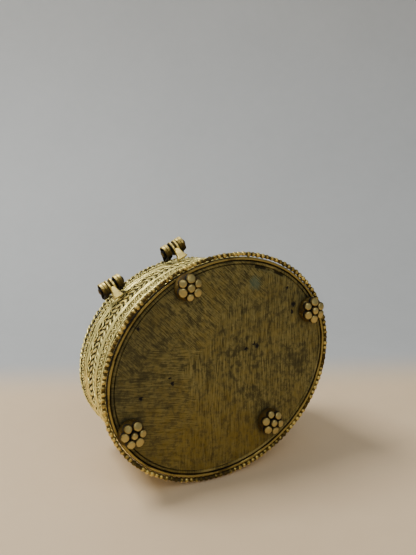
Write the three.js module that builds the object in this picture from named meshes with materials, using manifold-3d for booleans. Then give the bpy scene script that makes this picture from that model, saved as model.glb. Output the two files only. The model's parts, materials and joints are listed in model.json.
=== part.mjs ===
/**
 * Oval spice box (masala dabba) in lost-wax cast brass, with a hinged lid.
 *
 * Frame: millimetres, +Z up. X runs along the box, Y across it, and the hinges are at +Y.
 * The origin is on the surface under the feet, below the middle of the whole box with its hinges.
 *
 * The box is an oval shell on a flat plate with four rosette feet. Rows of wires and plaits ring the
 * wall, and a row of beads edges the plate. The lid turns on two pins. Six cups and a spoon stand inside.
 */
import * as THREE from 'three';
import { mergeVertices } from 'three/addons/utils/BufferGeometryUtils.js';
import Module from 'manifold-3d';

// ---------------------------------------------------------------- driving dimensions

// Shell, measured outside the bare wall where it stands on the base
const shell_length = 102;
const shell_width = 84.8;
const shell_wall = 2;
const body_height = 38; // underside of the base plate to the seam
const shell_lean = 3.3; // how far the wall has come in at the seam
const base_thickness = 2;
const lip_height = 2; // locating lip that stands up inside the lid
const lip_wall = 1.2;

// Feet
const foot_height = 5.5;
const foot_inset = { left: 3.4, right: 4.3, front: 9.2, hinge_side: 4.2 }; // foot centre to the outside of the shell
const foot_slip = { left: -0.8, right: -0.5, front: -7.5, hinge_side: -1.3 }; // how far it is off the oval's axis
const foot_stem_radius = 4.7;
const granule_radius = 1.7;
const granule_ring = 3.3; // centre of the middle granule to the centres of the six round it
const granule_drop = 0.9; // how much lower the middle granule stands

// Edge of the base
const edge_wire_width = 1.3;
const edge_wire_height = 1.7;
const bead_diameter = 2;

// Rows round the body, from the beads up; the two plaits share what is left below the triangle row
const lower_wire_height = 1.8;
const lower_plait_height = 4.6;
const middle_wire_height = 1.8;
const lozenge_row_height = 8.2;
const upper_wire_height = 2.8;
const triangle_row_height = 5;
const row_stand_out = 1.4; // how far a row stands out from the shell
const row_shoulder = 0.75; // the same at a row's top and bottom edges
const row_gap = 0.25;

// Lid
const lid_wire_height = 4.6;
const lid_zigzag_height = 5.6;
const lid_rope_height = 3.2;
const lid_rope_stand_out = 1.6;
const lid_lean = 0.5; // how far the skirt comes in from the seam to its top
const lid_wall = 1.8;
const dome_rise = 7;
const dome_wire_share = 0.8; // place of the wire, as a share of the way from the middle to the edge
const dome_plait_share = 0.6;
const dome_row_width = 2.4;
const dome_row_height = 1.5;
const knob_height = 12;
const knob_radius = 5.2;
const collar_height = 2.2;
const collar_radius = 7.4;

// Hinges
const hinge_spacing = 33.4; // between the middles of the two hinges
const hinge_stand_off = 6.0; // hinge axis to the shell at the seam
const hinge_above_seam = 0;
const knuckle_radius = 3.3;
const tab_width = 3.8;
const tab_splay = 1.7; // how much further the tab reaches to each side at the wall
const strap_width = 2.8;
const pin_radius = 1.2;
const pin_head_radius = 1.7;
const pin_head_thickness = 0.8;

// Thumb tab at the front of the lid
const thumb_tab_width = 8;
const thumb_tab_reach = 5.9; // from the shell at the seam
const thumb_tab_thickness = 2.4;

// Cups and spoon
const cup_height = 26;
const cup_wall = 0.9;
const cup_corner = 2.2; // rounding between the floor and the wall of a cup
const lane_width = 13.4; // clear lane for the spoon between the two rows of cups
const spoon_end_room = 6; // spoon to the mouth at each end of the lane
const spoon_thickness = 1;
const spoon_handle_width = 4.4;

// Clearances
const fit_gap = 0.3; // between neighbouring cast pieces
const swing_gap = 0.4; // between pieces that turn past each other
const bore_gap = 0.3; // pin to bore
const cup_gap = 1; // between cups, and cups to the mouth
const spoon_gap = 0.7; // spoon to the cups beside it

// Smoothness
const oval_segments = 40;
const round_segments = 18;

// ---------------------------------------------------------------- levels and places

const base_z = foot_height;
const floor_z = base_z + base_thickness;
const seam_z = base_z + body_height;
const half_length = shell_length / 2;
const half_width = shell_width / 2;

const lid_rows_start = body_height + fit_gap;
const lid_zigzag_start = lid_rows_start + lid_wire_height + row_gap;
const lid_rope_start = lid_zigzag_start + lid_zigzag_height + row_gap;
const lid_rope_end = lid_rope_start + lid_rope_height;
const skirt_top_z = base_z + lid_rope_start + lid_rope_height / 2;

const lip_outset = -shell_lean - lid_wall - fit_gap; // outside of the lip, clear of the lid
const mouth_outset = Math.min(lip_outset - lip_wall, -shell_lean - shell_wall);

const hinge_y = half_width - shell_lean + hinge_stand_off;
const hinge_z = seam_z + hinge_above_seam;
const hinge_reach = hinge_y + knuckle_radius;
const bead_reach = half_width + edge_wire_width + fit_gap + bead_diameter;

// ---------------------------------------------------------------- materials

const finish = (color, roughness) => new THREE.MeshStandardMaterial({ color, roughness, metalness: 0.9 });
const plate_brass = finish(0x6b5522, 0.5);
const wall_brass = finish(0x6f5c2a, 0.5);
const row_brass = finish(0xb39a52, 0.42);
const hinge_brass = finish(0xa8914c, 0.38);
const cup_brass = finish(0xb08d3c, 0.35);

// ---------------------------------------------------------------- joining and cutting

const wasm = await Module();
wasm.setup();

/** A closed geometry as a solid that can be joined and cut. */
function toSolid(geometry) {
  const bare = geometry.clone();
  bare.deleteAttribute('normal');
  bare.deleteAttribute('uv');
  const merged = mergeVertices(bare, 1e-4);
  const index = merged.index.array;
  const corners = [];
  for (let i = 0; i < index.length; i += 3) {
    const [a, b, c] = [index[i], index[i + 1], index[i + 2]];
    if (a !== b && b !== c && c !== a) corners.push(a, b, c);
  }
  const vertProperties = new Float32Array(merged.attributes.position.array);
  return new wasm.Manifold(new wasm.Mesh({ numProp: 3, vertProperties, triVerts: new Uint32Array(corners) }));
}

/** The solid's surface as a geometry. */
function toGeometry(solid) {
  const mesh = solid.getMesh();
  const geometry = new THREE.BufferGeometry();
  geometry.setAttribute('position', new THREE.BufferAttribute(new Float32Array(mesh.vertProperties), 3));
  geometry.setIndex(new THREE.BufferAttribute(new Uint32Array(mesh.triVerts), 1));
  geometry.computeVertexNormals();
  return geometry;
}

const joined = (...parts) => toGeometry(parts.map(toSolid).reduce((whole, part) => whole.add(part)));
const cut = (from, ...parts) => toGeometry([from, ...parts].map(toSolid).reduce((rest, part) => rest.subtract(part)));
const common = (a, b) => toGeometry(toSolid(a).intersect(toSolid(b)));

// ---------------------------------------------------------------- shapes

/** The bare shell's outset from its own foot, at a height above the underside of the base. */
function wallOutset(height) {
  if (height <= body_height) return (-shell_lean * height) / body_height;
  return -shell_lean - (lid_lean * (height - body_height)) / (lid_rope_end - body_height);
}

/** A point of the oval at a turn, moved out along its normal, then drawn in to a share of the way out. */
function ovalPoint(turn, outset, share) {
  const x = half_length * Math.cos(turn);
  const y = half_width * Math.sin(turn);
  const normal = new THREE.Vector2(Math.cos(turn) / half_length, Math.sin(turn) / half_width).normalize();
  return new THREE.Vector2((x + normal.x * outset) * share, (y + normal.y * outset) * share);
}

/**
 * A solid swept round the oval. The outline is a list of [outset, z, share], anticlockwise with the
 * outside to the right. It closes on itself, or starts and ends with a share of 0, on the axis.
 */
function ovalSolid(outline) {
  const on_axis = outline[0][2] === 0;
  const points = on_axis ? outline : [...outline, outline[0]];
  const profile = points.map(([outset, z, share = 1]) => new THREE.Vector2(share * (half_width + outset), z));
  const geometry = new THREE.LatheGeometry(profile, oval_segments);
  const position = geometry.attributes.position;
  for (let i = 0; i < position.count; i++) {
    const [outset, z, share = 1] = points[i % points.length];
    const step = Math.floor(i / points.length) % oval_segments;
    const place = ovalPoint((step / oval_segments) * 2 * Math.PI, outset, share);
    position.setXYZ(i, place.x, place.y, z);
  }
  geometry.computeVertexNormals();
  return geometry;
}

/** A row round the wall between two heights above the underside of the base. */
function wallRow(low, high, stand_out = row_stand_out) {
  const face = (height, out) => [wallOutset(height) + fit_gap + out, base_z + height];
  return ovalSolid([
    face(low, 0),
    face(low, row_shoulder),
    face((low + high) / 2, stand_out),
    face(high, row_shoulder),
    face(high, 0),
  ]);
}

/** A solid of revolution about Z from [radius, z] points, anticlockwise with the outside to the right. */
function turned(outline, segments = round_segments) {
  const profile = outline.map(([radius, z]) => new THREE.Vector2(radius, z));
  return new THREE.LatheGeometry(profile, segments).rotateX(Math.PI / 2);
}

/** A flat outline in the plane across the hinge axis, drawn as (y, z), thickened along X about a middle. */
function acrossHinge(shape, thickness, middle_x) {
  const geometry = new THREE.ExtrudeGeometry(shape, { depth: thickness, bevelEnabled: false, curveSegments: 8 });
  const axes = [new THREE.Vector3(0, 1, 0), new THREE.Vector3(0, 0, 1), new THREE.Vector3(1, 0, 0)];
  geometry.applyMatrix4(new THREE.Matrix4().makeBasis(...axes));
  return geometry.translate(middle_x - thickness / 2, hinge_y, hinge_z);
}

/** An eye of a given radius and bore with an arm that ends between two root points, the first lower down. */
function eyeWithArm(radius, bore, lower_root, upper_root) {
  const touch = (root, side) => Math.atan2(root.y, root.x) + side * Math.acos(radius / root.length());
  const shape = new THREE.Shape();
  const start = touch(lower_root, 1);
  const end = touch(upper_root, -1);
  shape.moveTo(lower_root.x, lower_root.y);
  shape.absarc(0, 0, radius, start, end > start ? end : end + 2 * Math.PI, false);
  shape.lineTo(upper_root.x, upper_root.y);
  shape.closePath();
  const hole = new THREE.Path();
  hole.absarc(0, 0, bore, 0, 2 * Math.PI, true);
  shape.holes.push(hole);
  return shape;
}

/** The solid oval that a piece fixed to the wall must stay out of, between two heights above the base. */
function wallEnvelope(low, high) {
  const out = fit_gap + row_stand_out + fit_gap;
  return ovalSolid([
    [0, base_z + low, 0],
    [wallOutset(low) + out, base_z + low],
    [wallOutset(high) + out, base_z + high],
    [0, base_z + high, 0],
  ]);
}

// ---------------------------------------------------------------- the object

const box = new THREE.Group();
const body = new THREE.Group();
const lid = new THREE.Group();
const contents = new THREE.Group();
box.add(body, lid, contents);

/** Adds a named piece to a group. */
function piece(group, name, geometry, material) {
  const mesh = new THREE.Mesh(geometry, material);
  mesh.name = name;
  group.add(mesh);
  return mesh;
}

// ---- base plate, its edge wire and the beads

function addBase() {
  const plate_edge = -fit_gap;
  const wire_outside = edge_wire_width;
  const bead_middle = wire_outside + fit_gap + bead_diameter / 2;
  const half_bead = bead_diameter / 2;
  const slant = half_bead / 2;
  piece(body, 'base_plate', ovalSolid([
    [0, base_z, 0],
    [plate_edge, base_z],
    [plate_edge, floor_z],
    [0, floor_z, 0],
  ]), plate_brass);
  piece(body, 'base_edge_wire', ovalSolid([
    [0, base_z],
    [wire_outside, base_z],
    [wire_outside, base_z + edge_wire_height],
    [0, base_z + edge_wire_height],
  ]), row_brass);
  piece(body, 'base_bead_rim', ovalSolid([
    [bead_middle - slant, base_z],
    [bead_middle + slant, base_z],
    [bead_middle + half_bead, base_z + half_bead],
    [bead_middle + slant, base_z + bead_diameter],
    [bead_middle - slant, base_z + bead_diameter],
    [bead_middle - half_bead, base_z + half_bead],
  ]), row_brass);
}

// ---- feet: a short stem with one granule in the middle and six round it, worn flat where it stands

function rosetteFoot() {
  const granule_z = granule_radius * 0.75;
  const granule = (x, y, z) => new THREE.SphereGeometry(granule_radius, 8, 5).rotateX(Math.PI / 2).translate(x, y, z);
  const stem_low = granule_z + granule_drop;
  const stem = turned([
    [0, stem_low],
    [foot_stem_radius * 0.8, stem_low],
    [foot_stem_radius, foot_height / 2],
    [foot_stem_radius, foot_height - fit_gap],
    [0, foot_height - fit_gap],
  ], 16);
  const ring = [...Array(6).keys()].map((i) => {
    const turn = (i * Math.PI) / 3;
    return granule(granule_ring * Math.cos(turn), granule_ring * Math.sin(turn), stem_low);
  });
  const worn = new THREE.BoxGeometry(20, 20, 10).translate(0, 0, -5);
  return cut(joined(stem, granule(0, 0, granule_z), ...ring), worn);
}

function addFeet() {
  const places = {
    foot_left: [foot_inset.left - half_length, foot_slip.left],
    foot_right: [half_length - foot_inset.right, foot_slip.right],
    foot_front: [foot_slip.front, foot_inset.front - half_width],
    foot_hinge_side: [foot_slip.hinge_side, half_width - foot_inset.hinge_side],
  };
  const foot = rosetteFoot();
  for (const [name, [x, y]] of Object.entries(places)) {
    piece(body, name, foot.clone(), row_brass).position.set(x, y, 0);
  }
}

// ---- wall of the body: a leaning oval shell with a locating lip at its top

function addBodyWall() {
  const wall_low = base_thickness + fit_gap;
  piece(body, 'body_wall', ovalSolid([
    [wallOutset(wall_low) - shell_wall, base_z + wall_low],
    [wallOutset(wall_low), base_z + wall_low],
    [-shell_lean, seam_z],
    [lip_outset, seam_z],
    [lip_outset, seam_z + lip_height],
    [mouth_outset, seam_z + lip_height],
    [mouth_outset, seam_z - lip_height],
    [-shell_lean - shell_wall, seam_z - 2 * lip_height],
  ]), wall_brass);
}

// ---- rows round the body

function addBodyRows() {
  const bottom = bead_diameter + row_gap;
  const fixed_heights = lower_wire_height + lower_plait_height + middle_wire_height
    + lozenge_row_height + upper_wire_height + triangle_row_height;
  const row_count = 8;
  const plait_height = (body_height - bottom - fixed_heights - (row_count - 1) * row_gap) / 2;
  const rows = [
    ['lower_wire', lower_wire_height],
    ['lower_plait', lower_plait_height],
    ['middle_wire', middle_wire_height],
    ['lozenge_row', lozenge_row_height],
    ['upper_wire', upper_wire_height],
    ['upper_plait_1', plait_height],
    ['upper_plait_2', plait_height],
    ['triangle_row', triangle_row_height],
  ];
  let low = bottom;
  for (const [name, height] of rows) {
    piece(body, name, wallRow(low, low + height), row_brass);
    low += height + row_gap;
  }
}

// ---- lid: skirt and dome in one shell, rows round the skirt, wire and plait on the dome

/** Height of the lid's outer face at a share of the way from its middle to its edge. */
const domeZ = (share) => skirt_top_z + dome_rise * (1 - share * share);

function addLidShell() {
  const edge = wallOutset(lid_rope_end);
  const shares = [0.85, 0.6, 0.3];
  const outer = shares.map((share) => [edge, domeZ(share), share]);
  const inner = shares.map((share) => [edge - lid_wall, domeZ(share) - lid_wall, share]).reverse();
  piece(lid, 'lid_shell', ovalSolid([
    [edge - lid_wall, domeZ(0) - lid_wall, 0],
    ...inner,
    [edge - lid_wall, skirt_top_z - lid_wall],
    [wallOutset(lid_rows_start) - lid_wall, seam_z + fit_gap],
    [wallOutset(lid_rows_start), seam_z + fit_gap],
    [edge, skirt_top_z],
    ...outer,
    [edge, domeZ(0), 0],
  ]), wall_brass);
}

function addLidRows() {
  piece(lid, 'lid_wire', wallRow(lid_rows_start, lid_rows_start + lid_wire_height), row_brass);
  piece(lid, 'lid_zigzag', wallRow(lid_zigzag_start, lid_zigzag_start + lid_zigzag_height), row_brass);
  piece(lid, 'lid_rope', wallRow(lid_rope_start, lid_rope_end, lid_rope_stand_out), row_brass);
}

/** A row that lies on the dome at a share of the way out. */
function domeRow(share) {
  const edge = wallOutset(lid_rope_end);
  const half_share = dome_row_width / 2 / half_width;
  const low = (at) => domeZ(at) + fit_gap;
  return ovalSolid([
    [edge, low(share - half_share), share - half_share],
    [edge, low(share + half_share), share + half_share],
    [edge, low(share) + dome_row_height, share + half_share / 2],
    [edge, low(share) + dome_row_height, share - half_share / 2],
  ]);
}

function addDomeRows() {
  piece(lid, 'dome_wire', domeRow(dome_wire_share), row_brass);
  piece(lid, 'dome_plait', domeRow(dome_plait_share), row_brass);
}

// ---- collar and bud knob

function addKnob() {
  const collar_z = domeZ(0) + fit_gap;
  const knob_z = collar_z + collar_height + fit_gap;
  const neck_radius = knob_radius * 0.55;
  const collar = turned([
    [0, collar_z],
    [collar_radius, collar_z],
    [collar_radius, collar_z + collar_height / 2],
    [collar_radius * 0.7, collar_z + collar_height],
    [0, collar_z + collar_height],
  ]);
  const knob = turned([
    [0, knob_z],
    [neck_radius, knob_z],
    [neck_radius, knob_z + knob_height * 0.15],
    [knob_radius * 0.9, knob_z + knob_height * 0.32],
    [knob_radius, knob_z + knob_height * 0.48],
    [knob_radius * 0.75, knob_z + knob_height * 0.72],
    [knob_radius * 0.3, knob_z + knob_height * 0.92],
    [0, knob_z + knob_height],
  ]);
  piece(lid, 'knob_collar', collar, row_brass);
  piece(lid, 'knob', knob, hinge_brass);
}

// ---- hinges: a tab on the body between two straps on the lid, on a pin with peened heads

/** Centre knuckle on a tab that widens where it meets the wall, trimmed by the wall. */
function hingeTab(x) {
  const past_wall = -hinge_stand_off * 1.6;
  const lower_root = new THREE.Vector2(past_wall, -hinge_above_seam - 3.2 * knuckle_radius);
  const upper_root = new THREE.Vector2(past_wall, -hinge_above_seam - 1.6 * knuckle_radius);
  const side = eyeWithArm(knuckle_radius, pin_radius + bore_gap, lower_root, upper_root);
  const half_tab = tab_width / 2;
  const half_root = half_tab + tab_splay;
  const plan = new THREE.Shape([
    new THREE.Vector2(half_tab, knuckle_radius),
    new THREE.Vector2(-half_tab, knuckle_radius),
    new THREE.Vector2(-half_tab, -1.05 * knuckle_radius),
    new THREE.Vector2(-half_root, -hinge_stand_off * 1.15),
    new THREE.Vector2(-half_root, past_wall),
    new THREE.Vector2(half_root, past_wall),
    new THREE.Vector2(half_root, -hinge_stand_off * 1.15),
    new THREE.Vector2(half_tab, -1.05 * knuckle_radius),
  ]);
  const depth = 10 * knuckle_radius;
  const plan_block = new THREE.ExtrudeGeometry(plan, { depth, bevelEnabled: false });
  plan_block.translate(x, hinge_y, hinge_z - depth / 2);
  const block = acrossHinge(side, 2 * half_root + fit_gap, x);
  return cut(common(block, plan_block), wallEnvelope(0, lid_rope_end));
}

/** One strap: a ring round the pin and an arm down to the skirt of the lid. */
function hingeStrap(x) {
  const lower_root = new THREE.Vector2(-hinge_stand_off * 1.6, lid_wire_height * 0.7);
  const upper_root = new THREE.Vector2(-hinge_stand_off * 1.6, lid_wire_height * 1.7);
  const shape = eyeWithArm(knuckle_radius, pin_radius + bore_gap, lower_root, upper_root);
  const outside = wallEnvelope(0, lid_rope_end);
  return cut(acrossHinge(shape, strap_width, x), outside);
}

function addHinges() {
  const strap_offset = tab_width / 2 + swing_gap + strap_width / 2;
  const stack = 2 * (strap_offset + strap_width / 2);
  for (const [side, x] of [['left', -hinge_spacing / 2], ['right', hinge_spacing / 2]]) {
    piece(body, `hinge_tab_${side}`, hingeTab(x), hinge_brass);
    const head_z = stack / 2 + swing_gap;
    const pin = turned([
      [0, -head_z - pin_head_thickness],
      [pin_head_radius, -head_z - pin_head_thickness],
      [pin_head_radius, -head_z],
      [pin_radius, -head_z],
      [pin_radius, head_z],
      [pin_head_radius, head_z],
      [pin_head_radius, head_z + pin_head_thickness],
      [0, head_z + pin_head_thickness],
    ], 12);
    pin.rotateY(Math.PI / 2).translate(x, hinge_y, hinge_z);
    piece(body, `hinge_pin_${side}`, pin, hinge_brass);
    piece(lid, `strap_${side}_outer`, hingeStrap(x + Math.sign(x) * strap_offset), hinge_brass);
    piece(lid, `strap_${side}_inner`, hingeStrap(x - Math.sign(x) * strap_offset), hinge_brass);
  }
}

// ---- thumb tab: a rounded tongue at the foot of the lid's skirt, opposite the hinges

function addThumbTab() {
  const front_y = half_width - shell_lean + thumb_tab_reach;
  const half_tab = thumb_tab_width / 2;
  const shape = new THREE.Shape();
  shape.moveTo(half_tab, half_tab - front_y);
  shape.lineTo(half_tab, -half_width / 2);
  shape.lineTo(-half_tab, -half_width / 2);
  shape.lineTo(-half_tab, half_tab - front_y);
  shape.absarc(0, half_tab - front_y, half_tab, Math.PI, 2 * Math.PI, false);
  const tongue = new THREE.ExtrudeGeometry(shape, {
    depth: thumb_tab_thickness,
    bevelEnabled: false,
    curveSegments: 8,
  });
  tongue.translate(0, 0, seam_z + fit_gap);
  piece(lid, 'thumb_tab', cut(tongue, wallEnvelope(0, lid_rope_end)), hinge_brass);
}

// ---- cups and spoon

/** Smallest distance from a point to the rim of the mouth, in the quarter where x and y are positive. */
function distanceToMouth(x, y) {
  const distances = [...Array(90).keys()].map((i) => {
    const rim = ovalPoint((i / 90) * (Math.PI / 2), mouth_outset, 1);
    return Math.hypot(rim.x - x, rim.y - y);
  });
  return Math.min(...distances);
}

/** The largest cup radius that lets the corner cups out through the mouth, found by halving. */
function largestCupRadius() {
  let [small, large] = [1, half_width];
  for (let i = 0; i < 40; i++) {
    const radius = (small + large) / 2;
    const clear = distanceToMouth(2 * radius + cup_gap, lane_width / 2 + radius) >= radius + cup_gap;
    [small, large] = clear ? [radius, large] : [small, radius];
  }
  return small;
}

function addCups() {
  const radius = largestCupRadius();
  const inner = radius - cup_wall;
  const outline = [
    [0, 0],
    [radius - cup_corner, 0],
    [radius, cup_corner],
    [radius, cup_height],
    [inner, cup_height],
    [inner, cup_corner + cup_wall / 2],
    [inner - cup_corner + cup_wall / 2, cup_wall],
    [0, cup_wall],
  ];
  const pitch = 2 * radius + cup_gap;
  const row_y = lane_width / 2 + radius;
  let number = 1;
  for (const y of [row_y, -row_y]) {
    for (const x of [-pitch, 0, pitch]) {
      piece(contents, `cup_${number}`, turned(outline), cup_brass).position.set(x, y, floor_z + fit_gap);
      number += 1;
    }
  }
}

/** A small scoop: a round bowl on the floor of the lane, and a flat handle that rests its end there. */
function addSpoon() {
  const bowl_radius = lane_width / 2 - spoon_gap;
  const bowl_inner = bowl_radius - spoon_thickness;
  const length = 2 * (half_length + mouth_outset - spoon_end_room);
  const steps = [0, 0.25, 0.5, 0.75, 1].map((share) => (share * Math.PI) / 2);
  const bowl = turned([
    ...steps.map((angle) => [bowl_radius * Math.sin(angle), bowl_radius * (1 - Math.cos(angle))]),
    ...[...steps].reverse().map((angle) => [bowl_inner * Math.sin(angle), bowl_radius - bowl_inner * Math.cos(angle)]),
  ], 16);
  const rim_z = bowl_radius;
  const handle_start = bowl_radius - spoon_thickness / 2;
  const handle_end = length - bowl_radius;
  const side = new THREE.Shape([
    new THREE.Vector2(handle_start, rim_z - 2 * spoon_thickness),
    new THREE.Vector2(handle_end, 0),
    new THREE.Vector2(handle_end, spoon_thickness),
    new THREE.Vector2(handle_start, rim_z),
  ]);
  const handle = new THREE.ExtrudeGeometry(side, { depth: spoon_handle_width, bevelEnabled: false });
  handle.rotateX(Math.PI / 2).translate(0, spoon_handle_width / 2, 0);
  const hollow = new THREE.SphereGeometry(bowl_inner, 16, 8).rotateX(Math.PI / 2).translate(0, 0, bowl_radius);
  const spoon = joined(cut(handle, hollow), bowl);
  piece(contents, 'spoon', spoon, cup_brass).position.set(bowl_radius - length / 2, 0, floor_z + fit_gap);
}

addBase();
addFeet();
addBodyWall();
addBodyRows();
addLidShell();
addLidRows();
addDomeRows();
addKnob();
addHinges();
addThumbTab();
addCups();
addSpoon();

// the hinges stand out further than the beads do, so the oval sits a little towards the front
box.position.y = (bead_reach - hinge_reach) / 2;

export default box;
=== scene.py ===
import json
import math

import bmesh
import bpy
import numpy as np
from mathutils import Matrix, Vector, noise


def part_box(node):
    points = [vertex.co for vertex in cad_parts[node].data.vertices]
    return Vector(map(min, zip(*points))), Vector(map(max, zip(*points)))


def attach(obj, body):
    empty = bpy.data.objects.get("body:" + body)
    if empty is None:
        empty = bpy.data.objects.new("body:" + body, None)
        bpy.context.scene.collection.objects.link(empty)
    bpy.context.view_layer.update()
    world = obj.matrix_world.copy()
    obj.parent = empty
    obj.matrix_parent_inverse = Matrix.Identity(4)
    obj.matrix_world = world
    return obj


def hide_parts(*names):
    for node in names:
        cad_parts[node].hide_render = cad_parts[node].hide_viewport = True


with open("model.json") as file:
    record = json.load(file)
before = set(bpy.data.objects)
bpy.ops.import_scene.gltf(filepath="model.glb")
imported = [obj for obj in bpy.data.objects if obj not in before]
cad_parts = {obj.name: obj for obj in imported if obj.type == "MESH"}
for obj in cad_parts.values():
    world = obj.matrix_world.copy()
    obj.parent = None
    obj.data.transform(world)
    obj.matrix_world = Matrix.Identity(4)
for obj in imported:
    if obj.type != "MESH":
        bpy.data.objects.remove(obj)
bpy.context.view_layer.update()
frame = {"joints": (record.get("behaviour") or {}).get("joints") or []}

# ---------------------------------------------------------------- camera
# Held a forearm away, looking up at the underside of the box while it lies on its side.
camera_azimuth = math.radians(131.18)
camera_elevation = math.radians(-63.41)
camera_roll = math.radians(78.05)
camera_distance = 0.2918
camera_aim = Vector((-0.01375, 0.03354, 0.01177))

camera_data = bpy.data.cameras.new("camera")
camera_data.sensor_width = 36
camera_data.lens = 45.4
camera_data.clip_start = 0.01
camera = bpy.data.objects.new("camera", camera_data)
bpy.context.scene.collection.objects.link(camera)
bpy.context.scene.camera = camera

towards_camera = Vector((
    math.sin(camera_azimuth) * math.cos(camera_elevation),
    -math.cos(camera_azimuth) * math.cos(camera_elevation),
    math.sin(camera_elevation),
))
camera_turn = towards_camera.to_track_quat("Z", "Y").to_matrix() @ Matrix.Rotation(-camera_roll, 3, "Z")
camera_place = camera_aim + towards_camera * camera_distance
camera.matrix_world = Matrix.Translation(camera_place) @ camera_turn.to_4x4()

# ---------------------------------------------------------------- base plate
# A flat oval plate of cast brass, scraped level with a file. A line is scribed just inside its edge,
# and small blowholes are left from the casting. Pieces are drawn in millimetres.
mm = 0.001
plate_low, plate_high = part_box("base_plate")
plate_gap = 0.3
underside = plate_low.z / mm
floor_top = plate_high.z / mm
half_length = plate_high.x / mm + plate_gap
half_width = (plate_high.y - plate_low.y) / 2 / mm + plate_gap
middle_y = (plate_high.y + plate_low.y) / 2 / mm
even_band = 6
oval_steps = 160


def oval_point(turn, outset, share=1):
    """A point of the oval at a turn, moved out from the foot of the wall, then drawn in to a share."""
    across = Vector((math.cos(turn) / half_length, math.sin(turn) / half_width)).normalized()
    x = half_length * math.cos(turn) + across.x * outset
    y = half_width * math.sin(turn) + across.y * outset
    return x * share, y * share + middle_y


def turned(outline, steps=oval_steps):
    """A blank turned about Z from a line of (radius, height)."""
    bm = bmesh.new()
    corners = [bm.verts.new((radius, 0, height)) for radius, height in outline]
    lines = [bm.edges.new(pair) for pair in zip(corners, corners[1:])]
    full = {"cent": (0, 0, 0), "axis": (0, 0, 1), "angle": 2 * math.pi, "use_merge": True}
    bmesh.ops.spin(bm, geom=corners + lines, steps=steps, **full)
    bmesh.ops.remove_doubles(bm, verts=bm.verts, dist=1e-4)
    bmesh.ops.recalc_face_normals(bm, faces=bm.faces)
    bm.verts.layers.float.new("wear")
    return bm


def press_oval(bm):
    """Presses a round blank into the oval: near the wall every ring keeps its distance."""
    inner = half_width - even_band
    for vert in bm.verts:
        radius = math.hypot(vert.co.x, vert.co.y)
        turn = math.atan2(vert.co.y, vert.co.x)
        outset = max(radius, inner) - half_width
        vert.co.x, vert.co.y = oval_point(turn, outset, min(radius / inner, 1))


def set_wear(bm, amount):
    """Notes at each vertex how far it is rubbed bright, from 0 in the hollows to 1 on the crests."""
    wear = bm.verts.layers.float["wear"]
    for vert in bm.verts:
        vert[wear] = min(max(amount(vert.co), 0), 1)


noise.seed_set(1)  # without a number noise_vector is seeded from the clock, and no two runs are alike


def uneven(bm, depth, size):
    """Small uneven lumps, as left by the clay mould."""
    for vert in bm.verts:
        vert.co += noise.noise_vector(vert.co / size) * depth


def finish_piece(name, bm, material, body, slot, *nodes, sharp=40):
    """Brings a drawn piece to metres, gives it its finish and fixes it to its body."""
    bmesh.ops.scale(bm, vec=(mm, mm, mm), verts=bm.verts)
    mesh = bpy.data.meshes.new(name)
    bm.to_mesh(mesh)
    bm.free()
    mesh.shade_smooth()
    mesh.set_sharp_from_angle(angle=math.radians(sharp))
    mesh.materials.append(material)
    piece = bpy.data.objects.new(name, mesh)
    bpy.context.scene.collection.objects.link(piece)
    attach(piece, body)
    if nodes:
        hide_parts(*nodes)
    return piece


class Tone:
    """One socket of a finish. Arithmetic on it adds Math nodes, and add() adds any other node."""

    def __init__(self, tree, socket):
        self.tree = tree
        self.socket = socket

    def add(self, kind, settings, sockets, output=0):
        node = self.tree.nodes.new(kind)
        for name, setting in settings.items():
            setattr(node, name, setting)
        for name, value in sockets.items():
            if isinstance(value, Tone):
                self.tree.links.new(value.socket, node.inputs[name])
            else:
                node.inputs[name].default_value = value
        return Tone(self.tree, node.outputs[output])

    def maths(self, operation, first, second):
        return self.add("ShaderNodeMath", {"operation": operation}, {0: first, 1: second})

    def __add__(self, other):
        return self.maths("ADD", self, other)

    __radd__ = __add__

    def __sub__(self, other):
        return self.maths("SUBTRACT", self, other)

    def __rsub__(self, other):
        return self.maths("SUBTRACT", other, self)

    def __mul__(self, other):
        return self.maths("MULTIPLY", self, other)

    __rmul__ = __mul__

    def __truediv__(self, other):
        return self.maths("DIVIDE", self, other)


def start_finish(name):
    """A new material, and the place on the object in millimetres."""
    material = bpy.data.materials.new(name)
    material.use_nodes = True
    tree = material.node_tree
    place = Tone(tree, tree.nodes.new("ShaderNodeTexCoord").outputs["Object"])
    return material, place.add("ShaderNodeVectorMath", {"operation": "SCALE"}, {0: place, "Scale": 1 / mm})


def ramp(tone, low, high):
    """0 below the low value, 1 above the high one, and a smooth rise between."""
    sockets = {"Value": tone, "From Min": low, "From Max": high}
    return tone.add("ShaderNodeMapRange", {"interpolation_type": "SMOOTHSTEP"}, sockets)


def mixed(mask, first, second):
    """The first colour where the mask is 0, the second where it is 1."""
    colours = [c if isinstance(c, Tone) else (*c, 1) for c in (first, second)]
    return mask.add("ShaderNodeMix", {"data_type": "RGBA"}, {0: mask, 6: colours[0], 7: colours[1]}, 2)


def mottle(place, size, detail=2, roughness=0.5):
    """Cloudy noise with patches of about a size in millimetres."""
    sockets = {"Vector": place, "Scale": 1 / size, "Detail": detail, "Roughness": roughness}
    return place.add("ShaderNodeTexNoise", {}, sockets)


def scored(place, heading, length, width):
    """Long thin marks that run along a heading, as a file leaves them."""
    sockets = {"Vector": place, "Rotation": (0, 0, math.radians(heading)), "Scale": (length, width, 4)}
    return mottle(place.add("ShaderNodeMapping", {"vector_type": "TEXTURE"}, sockets), 1, 3, 0.65)


def how_far(operation, place, other):
    """DOT_PRODUCT: how far a place lies along a heading. DISTANCE: how far it is from a spot."""
    return place.add("ShaderNodeVectorMath", {"operation": operation}, {0: place, 1: other}, 1)


def worn(place):
    """The wear noted at the vertices."""
    return place.add("ShaderNodeAttribute", {"attribute_name": "wear"}, {}, 2)


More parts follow.
